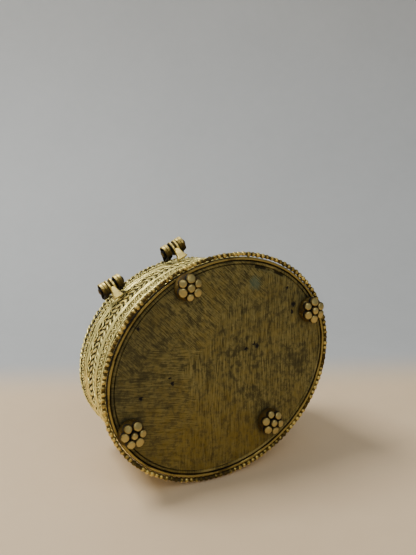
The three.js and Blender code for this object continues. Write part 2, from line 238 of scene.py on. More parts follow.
def apply_finish(material, colour, roughness, metallic, height, relief):
    """Feeds the shader with tones or plain numbers; relief is the height of the bumps in millimetres."""
    tree = material.node_tree
    bump = height.add("ShaderNodeBump", {}, {"Strength": 1, "Distance": relief * mm, "Height": height})
    shader = tree.nodes["Principled BSDF"]
    feeds = {"Base Color": colour, "Roughness": roughness, "Metallic": metallic, "Normal": bump}
    for name, feed in feeds.items():
        if isinstance(feed, Tone):
            tree.links.new(feed.socket, shader.inputs[name])
        else:
            shader.inputs[name].default_value = feed
    return material


def scraped_plate():
    material, place = start_finish("scraped_plate_brass")
    lengthwise = scored(place, 34, 5, 0.3)
    crosswise = scored(place, 118, 6, 0.3)
    slanting = scored(place, 72, 4, 0.3)
    across = how_far("DOT_PRODUCT", place, (0.8, 0.6, 0))
    towards_hinge = how_far("DOT_PRODUCT", place, (0, 1, 0))
    drift = mottle(place, 16) * 40 - 20
    right_end = ramp(across + drift, 12, 20)
    hinge_side = ramp(towards_hinge + drift, 17, 23)
    marks = crosswise * (1 - right_end) + lengthwise * right_end
    marks = marks * (1 - hinge_side) + slanting * hinge_side
    cloud = mottle(place, 11, 5, 0.66)
    patches = mottle(place, 2.6, 5, 0.75)
    colour = mixed(ramp(marks + patches * 0.3, 0.5, 0.8), (0.075, 0.066, 0.025), (0.33, 0.28, 0.1))
    amber_patches_and_painted_reflection = ramp(cloud * 0.45 + patches * 0.55, 0.47, 0.62) * 0.3
    # painted reflection: the plate turns amber towards the edge that lies by the warm floor, over random
    # amber tarnish patches
    front = how_far("DOT_PRODUCT", place, (0.46, -0.89, 0))
    amber_patches_and_painted_reflection = amber_patches_and_painted_reflection + ramp(front + drift * 0.6, 6, 38) * 0.38
    colour = mixed(amber_patches_and_painted_reflection, colour, (0.21, 0.14, 0.018))
    colour = mixed(ramp(cloud * 0.7 + patches * 0.3, 0.49, 0.38) * 0.6, colour, (0.05, 0.045, 0.023))
    # painted shade: the plate darkens towards its right end
    colour = mixed(ramp(across + drift * 0.5, 14, 36) * 0.35, colour, (0.06, 0.055, 0.028))
    shade = ramp(patches, 0.55, 0.4) * 0.4
    # painted shade: a dark ring round each foot is added to the random dark patches
    for foot in ("foot_left", "foot_right", "foot_front", "foot_hinge_side"):
        low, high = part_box(foot)
        middle = (low + high) / 2 / mm
        near = ramp(how_far("DISTANCE", place, (*middle.xy, underside)) + patches * 5, 10.5, 7)
        shade = place.maths("MAXIMUM", shade, near)
    colour = mixed(shade * 0.75, colour, (0.035, 0.03, 0.016))
    wander = place.add("ShaderNodeTexNoise", {}, {"Vector": place, "Scale": 1.1, "Detail": 2}, 1)
    sockets = {0: wander, 1: (2, 2, 0), 2: place}
    ragged = place.add("ShaderNodeVectorMath", {"operation": "MULTIPLY_ADD"}, sockets)
    pits = ramp(mottle(place, 0.9, 1), 0.74, 0.78) * ramp(mottle(place, 9, 1), 0.5, 0.62)
    for x, y, size in blowholes:
        gap = how_far("DISTANCE", ragged, (x + 1, y + middle_y + 1, underside))
        pits = place.maths("MAXIMUM", pits, ramp(gap, size, size * 0.55))
    colour = mixed(pits, colour, (0.006, 0.005, 0.004))
    gap = how_far("DISTANCE", ragged, (verdigris_x, verdigris_y + middle_y, underside))
    colour = mixed(ramp(gap + patches * 4, 6, 3) * 0.5, colour, (0.09, 0.17, 0.13))
    wear = worn(place)
    colour = mixed(ramp(wear + patches * 0.6, 0.72, 0.36) * 0.9, colour, (0.014, 0.012, 0.007))
    colour = mixed(ramp(wear + patches * 0.4, 0.85, 1.2) * 0.6, colour, (0.4, 0.32, 0.12))
    roughness = 0.5 + marks * 0.25 - cloud * 0.1 + pits * 0.3
    height = marks * 0.6 + patches * 0.4 - pits * 3
    return apply_finish(material, colour, roughness, 0.92 - pits * 0.5 - shade * 0.2, height, 0.1)


blowholes = (
    (-12.6, 0.9, 1.0), (-17.7, -0.9, 1.2), (-17.2, 0.8, 0.9), (24.3, 34.4, 0.9), (22.3, 9.5, 0.8),
    (22.5, 6.8, 0.9), (36.6, 9.1, 1.0), (-41.5, 5.6, 1.3), (-39.6, 3, 0.9), (-42.2, 13.6, 0.8),
)
verdigris_x, verdigris_y = -28.3, 24.6
plate_brass = scraped_plate()

scribe = half_width - 1.9
edge = half_width - plate_gap
outline = [(scribe * i / 56, underside) for i in range(57)]
outline += [(scribe + 0.3, underside + 0.45), (scribe + 0.6, underside + 0.05), (edge - 0.35, underside)]
outline += [(edge, underside + 0.4), (edge, floor_top - 0.3), (edge - 0.3, floor_top)]
outline += [(half_width * 0.6, floor_top), (half_width * 0.3, floor_top), (0, floor_top)]
plate = turned(outline, 220)
crack_start, crack_end = math.radians(131), math.radians(152)
wear = plate.verts.layers.float["wear"]
for vert in plate.verts:
    radius = math.hypot(vert.co.x, vert.co.y)
    turn = math.atan2(vert.co.y, vert.co.x)
    groove = abs(radius - scribe - 0.3) < 0.2
    drift = noise.noise(Vector((vert.co.x, vert.co.y, 0)) / 9)
    vert[wear] = 0.16 + 0.5 * drift if groove else 0.3 if radius > edge - 0.1 else 0.5
    vert.co.z -= max(0.35 * drift, 0) * groove
    if 0.5 < radius - scribe < 0.7 or abs(radius - edge + 0.35) < 0.1:
        vert[wear] = 0.6 + 0.5 * drift
    on_crack = crack_start < turn < crack_end and scribe - 1.2 < radius < scribe + 0.4
    if on_crack and vert.co.z < floor_top - 0.5:
        vert[wear] = 0.0 if noise.noise(vert.co / 1.5) > -0.25 else 0.3
        vert.co.z += 0.35
press_oval(plate)
for vert in plate.verts:
    if vert.co.z < underside + 1:
        level = Vector((vert.co.x, vert.co.y, 0))
        vert.co.z += 0.14 * noise.noise(level / 11) + 0.05 * noise.noise(level / 3) + 0.05
finish_piece("base_plate_scraped", plate, plate_brass, "body", "plate_brass", "base_plate")

# ---------------------------------------------------------------- edge wire and bead rim
# A flat wire of wax closes the joint between plate and wall, and a string of rolled beads runs round it.
# Beads and wire are cast in one with the box, and handling has rubbed their crests bright.
turns = np.linspace(0, 2 * math.pi, 1441)
rises = np.hypot(np.diff(half_length * np.cos(turns)), np.diff(half_width * np.sin(turns)))
reached = np.concatenate(([0], np.cumsum(rises)))
round_wall = float(reached[-1])
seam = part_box("triangle_row")[1].z / mm
rope_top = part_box("lid_rope")[1].z / mm
wall_lean = 3.3
skirt_lean = 0.5
row_gap_to_wall = 0.3
row_stand_out = 1.4


def wall_outset(height):
    """How far the outer face of the wall or skirt stands from the foot of the wall, at a height."""
    if height <= seam:
        return -wall_lean * (height - underside) / (seam - underside)
    return -wall_lean - skirt_lean * (height - seam) / (rope_top - seam)


def wrap_round(bm):
    """Lays a flat strip, drawn as (along, height, out), round the wall of the box and closes it on itself."""
    for vert in bm.verts:
        along, height, out = vert.co
        turn = float(np.interp(along % round_wall, reached, turns))
        vert.co = (*oval_point(turn, wall_outset(height) + out), height)
    bmesh.ops.remove_doubles(bm, verts=bm.verts, dist=0.002)
    bmesh.ops.recalc_face_normals(bm, faces=bm.faces)


def start_strip():
    bm = bmesh.new()
    bm.verts.layers.float.new("wear")
    return bm


def repeat_along(bm, pitch, count):
    """Sets copies of one repeat of a strip side by side."""
    whole = bm.verts[:] + bm.edges[:] + bm.faces[:]
    shift = {"cent": (0, 0, 0), "axis": (0, 0, 1), "angle": 0, "dvec": (pitch, 0, 0)}
    bmesh.ops.spin(bm, geom=whole, steps=count - 1, use_duplicate=True, **shift)


def draw_thread(bm, course, steps, width, depth, sides=6):
    """Draws a thread of wax along a course, from share 0 to 1, as an open tube of a flat or round section."""

    def placed(share):
        heading = course(share + 0.01) - course(share - 0.01)
        return Matrix.Translation(course(share)) @ heading.to_track_quat("Z", "Y").to_matrix().to_4x4()

    before = placed(0)
    section = before @ Matrix.Diagonal((width / 2, depth / 2, 1, 1))
    ring = bmesh.ops.create_circle(bm, segments=sides, radius=1, matrix=section)["verts"]
    edges = dict.fromkeys(edge for vert in ring for edge in vert.link_edges)
    for i in range(1, steps + 1):
        after = placed(i / steps)
        grown = bmesh.ops.extrude_edge_only(bm, edges=list(edges))["geom"]
        ring = [part for part in grown if isinstance(part, bmesh.types.BMVert)]
        new_edges = [part for part in grown if isinstance(part, bmesh.types.BMEdge)]
        edges = [edge for edge in new_edges if set(edge.verts) <= set(ring)]
        bmesh.ops.transform(bm, matrix=after @ before.inverted(), verts=ring)
        before = after


def straight(pitch, height, out):
    return lambda share: Vector((pitch * share, height, out))


def aged_brass(name, crest, flank, hollow, rubbed=0.5, verdigris=0.73):
    """Cast brass gone dark in the hollows, dull on the flanks and rubbed bright on the crests."""
    material, place = start_finish(name)
    grain = mottle(place, 0.45, 3, 0.6)
    patches = mottle(place, 5, 3, 0.6)
    stain = mottle(place, 1.2, 3, 0.6)
    wear = worn(place) + grain * 0.3 + patches * 0.3 + stain * 0.5 - 0.55
    bright = ramp(wear, rubbed - 0.1, rubbed + 0.24)
    clear = ramp(wear, 0.12, rubbed - 0.06)
    brown = mixed(ramp(patches, 0.42, 0.62) * 0.55, flank, (flank[0] * 0.9, flank[1] * 0.62, flank[2] * 0.35))
    colour = mixed(clear, hollow, mixed(bright, brown, crest))
    green = ramp(mottle(place, 3.1, 3, 0.7), verdigris, verdigris + 0.04) * (1 - bright * 0.7)
    colour = mixed(green * 0.7, colour, (0.12, 0.21, 0.16))
    roughness = 0.68 - bright * 0.36 + grain * 0.12
    metallic = 0.45 + clear * 0.5 - green * 0.5
    return apply_finish(material, colour, roughness, metallic, grain * 0.5 + stain * 0.5, 0.06)


# the near-black in the hollows of the threads has a faint blue-grey tint, a painted reflection of the grey
# surroundings
thread_brass = aged_brass("thread_brass", (1, 0.86, 0.3), (0.13, 0.108, 0.038), (0.006, 0.007, 0.007), 0.74)
edge_brass = aged_brass("edge_brass", (0.38, 0.29, 0.085), (0.13, 0.09, 0.022), (0.012, 0.01, 0.007), 0.68)
bead_brass = aged_brass("bead_brass", (0.72, 0.55, 0.16), (0.12, 0.088, 0.025), (0.01, 0.009, 0.006), 0.7)

wire_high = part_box("base_edge_wire")[1]
wire_width = wire_high.x / mm - half_length
wire_top = wire_high.z / mm
outline = [(half_width + 0.05, wire_top), (half_width + 0.05, underside + 0.35)]
outline += [(half_width + 0.3, underside)]
outline += [(half_width + wire_width * 0.5, underside - 0.08), (half_width + wire_width - 0.25, underside)]
outline += [(half_width + wire_width, underside + 0.35), (half_width + wire_width, wire_top)]
outline += [(half_width + 0.05, wire_top)]
wire = turned(outline, 220)
set_wear(wire, lambda co: 0.9 - (co.z - underside) * 1.6 + 0.5 * noise.noise(co / 7))
press_oval(wire)
uneven(wire, 0.1, 5)
finish_piece("edge_wire_flat", wire, edge_brass, "body", "thread_brass", "base_edge_wire")

bead_low, bead_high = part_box("base_bead_rim")
bead_out = bead_high.x / mm - half_length
bead_diameter = (bead_high.z - bead_low.z) / mm
bead_middle = bead_out - bead_diameter / 2
bead_height = (bead_high.z + bead_low.z) / 2 / mm
bead_count = 134
bead_pitch = round_wall / bead_count
beads = start_strip()
draw_thread(beads, straight(bead_pitch, bead_height, bead_middle), 1, 1.5, 1.5, 7)
repeat_along(beads, bead_pitch, bead_count)
for i in range(bead_count):
    spot = noise.noise_vector(Vector((i * 7.3, 0, 0)))
    size = bead_diameter / 2 * (1.04 + 0.2 * spot.x)
    bead_along = bead_pitch * (i + 0.5 + 0.12 * spot.z)
    bead_place = Matrix.Translation((bead_along, bead_height, bead_middle + 0.15 * spot.y))
    shape = Matrix.Diagonal((size * 0.98, size, size, 1))
    bmesh.ops.create_uvsphere(beads, u_segments=10, v_segments=7, radius=1, matrix=bead_place @ shape)
wear = beads.verts.layers.float["wear"]
for vert in beads.verts:
    from_core = math.hypot(vert.co.y - bead_height, vert.co.z - bead_middle)
    vert[wear] = min(max((from_core - 0.5) / 0.36, 0), 1) * (0.86 + 0.5 * noise.noise(vert.co / 5))
wrap_round(beads)
uneven(beads, 0.12, 2.5)
finish_piece("bead_rim", beads, bead_brass, "body", "thread_brass", "base_bead_rim", sharp=70)

# ---------------------------------------------------------------- feet
# Four small rosettes: six granules round a middle one on a low dome, cast with the plate.
# They are rubbed flat and bright where they stand, and black wax is left between the granules.
wax_black = (0.005, 0.005, 0.004)
foot_brass = aged_brass("foot_brass", (0.46, 0.37, 0.14), (0.13, 0.088, 0.022), wax_black, 0.66, 0.8)
granule_ring = 3.58
granule_radius = 2.0
for number, foot in enumerate(("foot_left", "foot_right", "foot_front", "foot_hinge_side")):
    low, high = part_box(foot)
    middle = (low + high) / 2 / mm
    top = high.z / mm
    rosette = turned([(0, 2.0), (2.4, 2.2), (4.4, 2.9), (5.3, 3.8), (5.6, top), (0, top)], 36)
    set_wear(rosette, lambda co: 0.0 if co.z < 2.8 else 0.5 + 0.3 * noise.noise(co / 2 + middle))
    wear = rosette.verts.layers.float["wear"]
    for i in range(7):
        spot = noise.noise_vector(Vector((number * 11.7, i * 5.1, 0)))
        size = granule_radius * (1 + 0.2 * spot.x)
        turn = i * math.pi / 3 + number * 0.35 + 0.12 * spot.y
        ring = 0 if i == 6 else granule_ring + 0.15 * spot.z
        spot_middle = Vector((ring * math.cos(turn), ring * math.sin(turn), 1.75 if i == 6 else 2.45))
        granule = bmesh.ops.create_uvsphere(
            rosette, u_segments=18, v_segments=12, radius=size, matrix=Matrix.Translation(spot_middle)
        )["verts"]
        flat = 0.12 if i == 6 else 1.0 + 0.25 * spot.y
        tilt = Vector((math.cos(turn), math.sin(turn))) * (0 if i == 6 else 0.28)
        for vert in granule:
            from_middle = (vert.co - spot_middle).xy.length / size
            face = flat + tilt.dot((vert.co - spot_middle).xy) + 0.1 * from_middle ** 2
            # painted shade: besides the wear falling down the sides, the colour darkens towards the rim of
            # each flat top
            vert[wear] = 0.98 - max(max(vert.co.z, face) - face - 0.1, 0) * 0.8 - 0.4 * from_middle ** 4
            vert.co.z = max(vert.co.z, face)
    bmesh.ops.translate(rosette, vec=(middle.x, middle.y, 0), verts=rosette.verts)
    uneven(rosette, 0.14, 1.6)
    finish_piece(foot + "_rosette", rosette, foot_brass, "body", "foot_brass", foot, sharp=60)

# ---------------------------------------------------------------- wall of the body
# An oval shell of cast brass that leans in a little, with a locating lip round the mouth.
# Outside it is black between the rows of wax thread, and inside it is dull and stained.
wall_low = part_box("body_wall")[0].z / mm
lip_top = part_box("body_wall")[1].z / mm
wall_thickness = 2
lip_outside = -wall_lean - 2.1
lip_inside = lip_outside - 1.2
tarnish = (0.016, 0.014, 0.01)
shell_brass = aged_brass("shell_brass", (0.6, 0.44, 0.17), (0.24, 0.165, 0.055), tarnish, 0.6, 0.7)
low_outset = wall_outset(wall_low)
outline = [
    (half_width + low_outset - wall_thickness, wall_low),
    (half_width + low_outset, wall_low),
    (half_width + wall_outset(20), 20),
    (half_width - wall_lean, seam - 0.2),
    (half_width - wall_lean - 0.2, seam),
    (half_width + lip_outside, seam),
    (half_width + lip_outside, lip_top - 0.35),
    (half_width + lip_outside - 0.3, lip_top),
    (half_width + lip_inside + 0.3, lip_top),
    (half_width + lip_inside, lip_top - 0.35),
    (half_width + lip_inside, seam - 2),
    (half_width - wall_lean - wall_thickness, seam - 4),
    (half_width + wall_outset(20) - wall_thickness, 20),
    (half_width + low_outset - wall_thickness, wall_low),
]
wall = turned(outline)
wear = wall.verts.layers.float["wear"]
for vert in wall.verts:
    outside = vert.co.xy.length > half_width + wall_outset(vert.co.z) - 0.1
    vert[wear] = 0 if outside and vert.co.z < seam - 0.1 else 0.55
press_oval(wall)
uneven(wall, 0.12, 9)
finish_piece("wall_shell", wall, shell_brass, "body", "shell_brass", "body_wall")

# ---------------------------------------------------------------- rows of thread round the body
# Threads of beeswax are laid round the clay core before casting: plain wires, three-strand plaits,
# a row of crossed threads with a grain in each lozenge, twisted pairs, and a row of points at the top.
outermost = row_gap_to_wall + row_stand_out


def peak(share):
    """A zigzag between -1 and 1 with its corners eased."""
    return math.asin(0.97 * math.sin(2 * math.pi * share)) / math.asin(0.97)


def levels(node):
    low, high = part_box(node)
    return low.z / mm, high.z / mm


def start_row(node, pitch_wanted):
    """The lowest and highest line of a row, its repeats round the box, their pitch, and an empty strip."""
    low, high = levels(node)
    repeats = round(round_wall / pitch_wanted)
    return low, high, repeats, round_wall / repeats, start_strip()


def close_row(name, row, body, node, stand_out=outermost):
    """Repeats a row and wraps it round the box, wears down its crests and fixes it."""
    low, high, repeats, pitch, strip = row
    repeat_along(strip, pitch, repeats)
    wear = strip.verts.layers.float["wear"]
    middle = (low + high) / 2
    for vert in strip.verts:
        hill = (vert.co.z - row_gap_to_wall) / (stand_out - row_gap_to_wall)
        edge_fall = max(abs(vert.co.y - middle) / (high - low) * 2 - 0.8, 0)
        vert[wear] = min(max(hill * 1.05 - edge_fall * 0.8, 0), 1)
    wrap_round(strip)
    uneven(strip, 0.3, 3.4)
    uneven(strip, 0.12, 1.1)
    finish_piece(name, strip, thread_brass, body, "thread_brass", node, sharp=80)


def wires_row(name, body, node, count):
    """Plain round threads laid side by side."""
    row = low, high, repeats, pitch, strip = start_row(node, round_wall / 150)
    size = (high - low) / count
    depth = min(size * 1.1, row_stand_out)
    for i in range(count):
        height = low + size * (i + 0.5)
        draw_thread(strip, straight(pitch, height, outermost - depth / 2 - 0.05), 1, size * 0.84, depth, 8)
    close_row(name, row, body, node)


def plait_row(name, body, node, lobe):
    """A flat plait of three threads, with a lobe at its edge every so many millimetres."""
    row = low, high, repeats, pitch, strip = start_row(node, 3 * lobe)
    thick = min((high - low) * 0.26, 1.2)
    swing = (high - low - thick) / 2
    for strand in range(3):
        def course(share, start=strand / 3):
            phase = 2 * math.pi * (share + start)
            out = outermost - thick / 2 - 0.32 + 0.34 * math.cos(2 * phase + math.pi / 2)
            return Vector((pitch * share, (low + high) / 2 + swing * math.sin(phase), out))
        draw_thread(strip, course, 14, thick * 1.08, thick, 7)
    close_row(name, row, body, node)


def rope_row(name, body, node, lobe, hand, stand_out=outermost):
    """Two threads twisted round each other and pressed flat against the wall; hand is 1 or -1."""
    row = low, high, repeats, pitch, strip = start_row(node, 2 * lobe)
    depth = 0.85
    width = min((high - low) * 0.36, 1.6)
    swing = (high - low - width * 0.8) / 2
    for strand in range(2):
        def course(share, start=strand / 2):
            phase = 2 * math.pi * (hand * share + start)
            out = stand_out - depth / 2 - 0.36 + 0.36 * math.cos(phase)
            return Vector((pitch * share, (low + high) / 2 + swing * math.sin(phase), out))
        draw_thread(strip, course, 14, width, depth, 7)
    close_row(name, row, body, node, stand_out)


def grain_at(strip, along, height, out, size):
    """A pressed grain of wax, longer than it is wide."""
    shape = Matrix.Diagonal((*size, 1))
    bmesh.ops.create_uvsphere(
        strip, u_segments=8, v_segments=6, radius=1, matrix=Matrix.Translation((along, height, out)) @ shape
    )


def lozenge_row(name, body, node, pitch_wanted, border):
    """Two zigzag threads that cross, with a grain in each lozenge and a thin wire along each border."""
    row = low, high, repeats, pitch, strip = start_row(node, pitch_wanted)
    middle = (low + high) / 2
    thick = 0.86
    swing = (high - low - thick) / 2 - border
    for side in (1, -1):
        def course(share, side=side):
            out = outermost - 0.5 - 0.14 * (1 + side * math.cos(4 * math.pi * share))
            return Vector((pitch * share, middle + side * swing * peak(share), out))
        draw_thread(strip, course, 12, thick, thick, 6)
        if border:
            height = middle + side * (high - low - border) / 2
            draw_thread(strip, straight(pitch, height, outermost - 0.55), 2, border * 1.1, 1, 6)
    for place in (0.25, 0.75):
        grain_at(strip, pitch * place, middle, outermost - 0.62, (pitch * 0.11, swing * 0.32, 0.5))
    close_row(name, row, body, node)


def points_row(name, body, node, pitch_wanted):
    """A zigzag thread under a thin wire: hollows that point down are left black, the others are filled."""
    row = low, high, repeats, pitch, strip = start_row(node, pitch_wanted)
    thick = 0.9
    rim = 0.8
    middle = (low + high - rim) / 2
    swing = (high - low - rim - thick) / 2
    draw_thread(strip, straight(pitch, high - rim / 2, outermost - 0.5), 2, rim, 0.9, 6)

    def course(share):
        return Vector((pitch * share, middle + swing * peak(share), outermost - 0.55))

    draw_thread(strip, course, 12, thick, 1.05, 6)
    grain_at(strip, pitch * 0.75, low + 0.75, outermost - 0.8, (0.6, 0.5, 0.55))
    grain_at(strip, pitch * 0.25, middle - swing * 0.4, outermost - 0.75, (0.62, 1.0, 0.55))
    close_row(name, row, body, node)


wires_row("lower_wire_thread", "body", "lower_wire", 1)
plait_row("lower_plait_threads", "body", "lower_plait", 2.2)
wires_row("middle_wire_thread", "body", "middle_wire", 1)
lozenge_row("lozenge_threads", "body", "lozenge_row", 5.2, 0.7)
wires_row("upper_wire_threads", "body", "upper_wire", 2)
rope_row("upper_plait_1_threads", "body", "upper_plait_1", 2.75, 1)
rope_row("upper_plait_2_threads", "body", "upper_plait_2", 2.75, -1)
points_row("triangle_threads", "body", "triangle_row", 5.3)

# ---------------------------------------------------------------- hinge tabs and pins
# Two ring knuckles stand side by side on a tab that spreads where it is cast onto the wall.
# A brass pin runs through them and the straps of the lid, with its ends peened into small heads.
# soot black for the hinge hollows, also used as painted shade inside the strap loops
soot_and_painted_shade = (0.008, 0.007, 0.006)
hinge_brass = aged_brass("hinge_brass", (0.88, 0.7, 0.23), (0.16, 0.115, 0.032), soot_and_painted_shade, 0.66, 0.8)
hinge_joint = next(joint for joint in frame["joints"] if joint["name"] == "lid_hinge")
hinge_y, hinge_z = (at / mm for at in hinge_joint["pos_m"][1:])
knuckle_radius = 3.3
eye_radius = 1.5


def ring_round_pin(bm, x, width, outer, inner, ease):
    """A ring about the hinge pin with its corners eased."""
    half = width / 2
    outline = [(inner, -half + ease), (inner + ease, -half), (outer - ease, -half), (outer, -half + ease)]
    outline += [(outer, half - ease), (outer - ease, half), (inner + ease, half), (inner, half - ease)]
    corners = [bm.verts.new((x + across, hinge_y + radius, hinge_z)) for radius, across in outline]
    lines = [bm.edges.new((corners[i], corners[(i + 1) % len(corners)])) for i in range(len(corners))]
    full = {"cent": (x, hinge_y, hinge_z), "axis": (1, 0, 0), "angle": 2 * math.pi, "use_merge": True}
    bmesh.ops.spin(bm, geom=corners + lines, steps=32, **full)


def station(place, heading, across, width, thick):
    """One cross-section of a bar: its middle, the way the bar runs, the way its width lies, and its size."""
    heading = heading.normalized()
    turn = Matrix((across, heading.cross(across), heading)).transposed().to_4x4()
    return Matrix.Translation(place) @ turn @ Matrix.Diagonal((width, thick, 1, 1))


def draw_bar(bm, stations):
    """Draws a bar through its stations: a square is extruded from each to the next."""
    corners = bmesh.ops.create_grid(bm, x_segments=1, y_segments=1, size=0.5, matrix=stations[0])["verts"]
    end = [corners[0].link_faces[0]]
    for before, after in zip(stations, stations[1:]):
        grown = bmesh.ops.extrude_face_region(bm, geom=end)["geom"]
        end = [part for part in grown if isinstance(part, bmesh.types.BMFace)]
        corners = [part for part in grown if isinstance(part, bmesh.types.BMVert)]
        bmesh.ops.transform(bm, matrix=after @ before.inverted(), verts=corners)


def ease_corners(piece, width, angle):
    """Rounds the corners of a finished piece, in millimetres, where its faces turn by more than an angle."""
    rounding = piece.modifiers.new("eased corners", "BEVEL")
    rounding.width = width * mm
    rounding.segments = 2
    rounding.limit_method = "ANGLE"
    rounding.angle_limit = math.radians(angle)


along_pin = Vector((1, 0, 0))
for side in ("left", "right"):
    tab_low, tab_high = (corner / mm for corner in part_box("hinge_tab_" + side))
    x = (tab_low.x + tab_high.x) / 2
    knuckle = start_strip()
    # the tab runs down from under the rings and spreads into the wall
    wall_y = middle_y + half_width + wall_outset(hinge_z - 5)
    reach = hinge_y - wall_y - 0.4
    spread = [(0.1, 2.3, 3.2, 1.7), (0.25 * reach, 2.6, 3.4, 2.2)]
    spread += [(0.6 * reach, 3.3, 4.2, 2.6), (reach, 5.2, 5.3, 3.1)]
    stations = []
    for away, width, drop, thick in spread:
        place = Vector((x, hinge_y - away, hinge_z - drop + 0.9))
        stations.append(station(place, Vector((0, -1, -0.35)), along_pin, width, thick))
    draw_bar(knuckle, stations)
    bmesh.ops.recalc_face_normals(knuckle, faces=knuckle.faces)
    bmesh.ops.subdivide_edges(knuckle, edges=knuckle.edges, cuts=1, use_grid_fill=True)
    for step in (-1, 1):
        ring_round_pin(knuckle, x + step * 1.05, 1.45, knuckle_radius, eye_radius, 0.45)
    ring_round_pin(knuckle, x, 1.2, knuckle_radius - 1.1, eye_radius + 0.05, 0.2)
    bmesh.ops.recalc_face_normals(knuckle, faces=knuckle.faces)
    wear = knuckle.verts.layers.float["wear"]
    for vert in knuckle.verts:
        reach = math.hypot(vert.co.y - hinge_y, vert.co.z - hinge_z)
        polish = 0.98 if reach > knuckle_radius - 0.2 else 0.45 if reach > knuckle_radius - 1.3 else 0.1
        vert[wear] = polish - 0.1 * abs(vert.co.x - x)
    uneven(knuckle, 0.12, 2.4)
    node = "hinge_tab_" + side
    tab = finish_piece("hinge_knuckle_" + side, knuckle, hinge_brass, "body", "hinge_brass", node)
    ease_corners(tab, 0.4, 50)

    pin_low, pin_high = (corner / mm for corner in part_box("hinge_pin_" + side))
    half_pin = (pin_high.x - pin_low.x) / 2
    shank, head = 1.2, 1.65
    half_outline = [(0, half_pin), (head * 0.6, half_pin - 0.12), (head, half_pin - 0.5)]
    half_outline += [(head, half_pin - 0.8), (shank, half_pin - 0.8)]
    outline = [(radius, -along) for radius, along in half_outline] + half_outline[::-1]
    pin = turned(outline, 24)
    set_wear(pin, lambda co: 0.1 + 0.45 * (abs(co.z) > half_pin - 0.5))
    pin_place = Matrix.Translation(((pin_low.x + pin_high.x) / 2, hinge_y, hinge_z))
    bmesh.ops.transform(pin, matrix=pin_place @ Matrix.Rotation(math.pi / 2, 4, "Y"), verts=pin.verts)
    uneven(pin, 0.06, 1.2)
    finish_piece("hinge_pin_peened_" + side, pin, hinge_brass, "body", "hinge_brass", "hinge_pin_" + side)

# ---------------------------------------------------------------- lid
# One casting: a skirt that carries on the line of the wall, and a low dome built up from a thread of wax
# wound from the edge to the middle, so that fine ridges run round it.
lid_low, lid_high = levels("lid_shell")
skirt_top = lid_high - 7
dome_rise = 7
skirt_radius = half_width - wall_lean - skirt_lean
lid_wall = 1.8
winding = 1.45


def dome_height(radius):
    share = radius / skirt_radius
    return skirt_top + dome_rise * (1 - share * share)


outline = [(0, dome_height(0) - lid_wall)]
for share in (0.3, 0.6, 0.85, 0.95):
    outline.append((skirt_radius * share - 1.2, dome_height(skirt_radius * share) - lid_wall))
outline.append((skirt_radius - lid_wall, skirt_top - lid_wall - 0.6))
outline.append((half_width - wall_lean - lid_wall, lid_low + 0.3))
outline += [(half_width - wall_lean - lid_wall + 0.3, lid_low), (half_width - wall_lean - 0.3, lid_low)]
outline += [(half_width - wall_lean, lid_low + 0.3), (skirt_radius, skirt_top)]
ridge_steps = 6
wound = int((skirt_radius - 1) / winding * ridge_steps)
for i in range(wound):
    radius = (skirt_radius - 0.5) * (1 - (i + 1) / wound)
    ridge = 0.16 * math.cos(2 * math.pi * i / ridge_steps) - 0.1
    outline.append((radius, dome_height(radius) + ridge))
lid = turned(outline)
wear = lid.verts.layers.float["wear"]
for vert in lid.verts:
    radius = vert.co.xy.length
    above = vert.co.z - dome_height(radius)
    under_rows = radius > skirt_radius - 0.6 and vert.co.z < skirt_top + 0.3
    vert[wear] = 0.45 if above < -0.9 else 0 if under_rows else min(max(0.5 + 2.4 * (above + 0.1), 0), 1)
press_oval(lid)
uneven(lid, 0.2, 8)
uneven(lid, 0.06, 2)
finish_piece("lid_dome", lid, shell_brass, "lid", "shell_brass", "lid_shell")

# ---------------------------------------------------------------- rows of thread round the lid
# Laid as on the body: a pair of wires at the foot of the skirt, a row of crossed threads, and a rope
# that turns the corner to the dome. A rope and a plait lie on the dome itself.
wires_row("lid_wire_threads", "lid", "lid_wire", 2)
lozenge_row("lid_lattice_threads", "lid", "lid_zigzag", 4.7, 0)
rope_row("lid_rope_threads", "lid", "lid_rope", 2.4, 1, row_gap_to_wall + 1.6)


def dome_ring(name, node, lobe, strands, plaited):
    """A twisted or plaited strip that lies on the dome."""
    low, high = (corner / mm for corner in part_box(node))
    outer_share = (high.y - low.y) / 2 / (half_width + wall_outset(rope_top))
    middle_radius = outer_share * skirt_radius - 1.2
    length = round_wall * middle_radius / half_width
    repeats = round(length / (strands * lobe))
    pitch = round_wall / repeats
    strip = start_strip()
    for strand in range(strands):
        def course(share, start=strand / strands):
            phase = 2 * math.pi * (share + start)
            swell = math.sin(2 * phase) if plaited else math.cos(phase)
            return Vector((pitch * share, 0.72 * math.sin(phase), 0.85 + 0.3 * swell))
        draw_thread(strip, course, 12, 0.95, 0.8, 7)
    repeat_along(strip, pitch, repeats)
    wear = strip.verts.layers.float["wear"]
    for vert in strip.verts:
        vert[wear] = min(max((vert.co.z - 0.5) / 0.9, 0), 1)
        turn = float(np.interp(vert.co.x % round_wall, reached, turns))
        radius = middle_radius - vert.co.y
        vert.co = (radius * math.cos(turn), radius * math.sin(turn), dome_height(radius) + vert.co.z)
    press_oval(strip)
    bmesh.ops.remove_doubles(strip, verts=strip.verts, dist=0.002)
    bmesh.ops.recalc_face_normals(strip, faces=strip.faces)
    uneven(strip, 0.15, 3)
    finish_piece(name, strip, thread_brass, "lid", "thread_brass", node, sharp=80)


dome_ring("dome_rope_threads", "dome_wire", 2.2, 2, False)
dome_ring("dome_plait_threads", "dome_plait", 2.2, 3, True)

# ---------------------------------------------------------------- collar and knob
# A cast collar with a beaded edge carries a bud on a short neck, with eight soft lobes.
# Fingers have polished the bud.
knob_brass = aged_brass("knob_brass", (0.92, 0.74, 0.35), (0.4, 0.28, 0.09), (0.02, 0.016, 0.01), 0.42, 0.82)
collar_low, collar_high = levels("knob_collar")
collar_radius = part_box("knob_collar")[1].x / mm
knob_low, knob_high = levels("knob")
knob_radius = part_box("knob")[1].x / mm

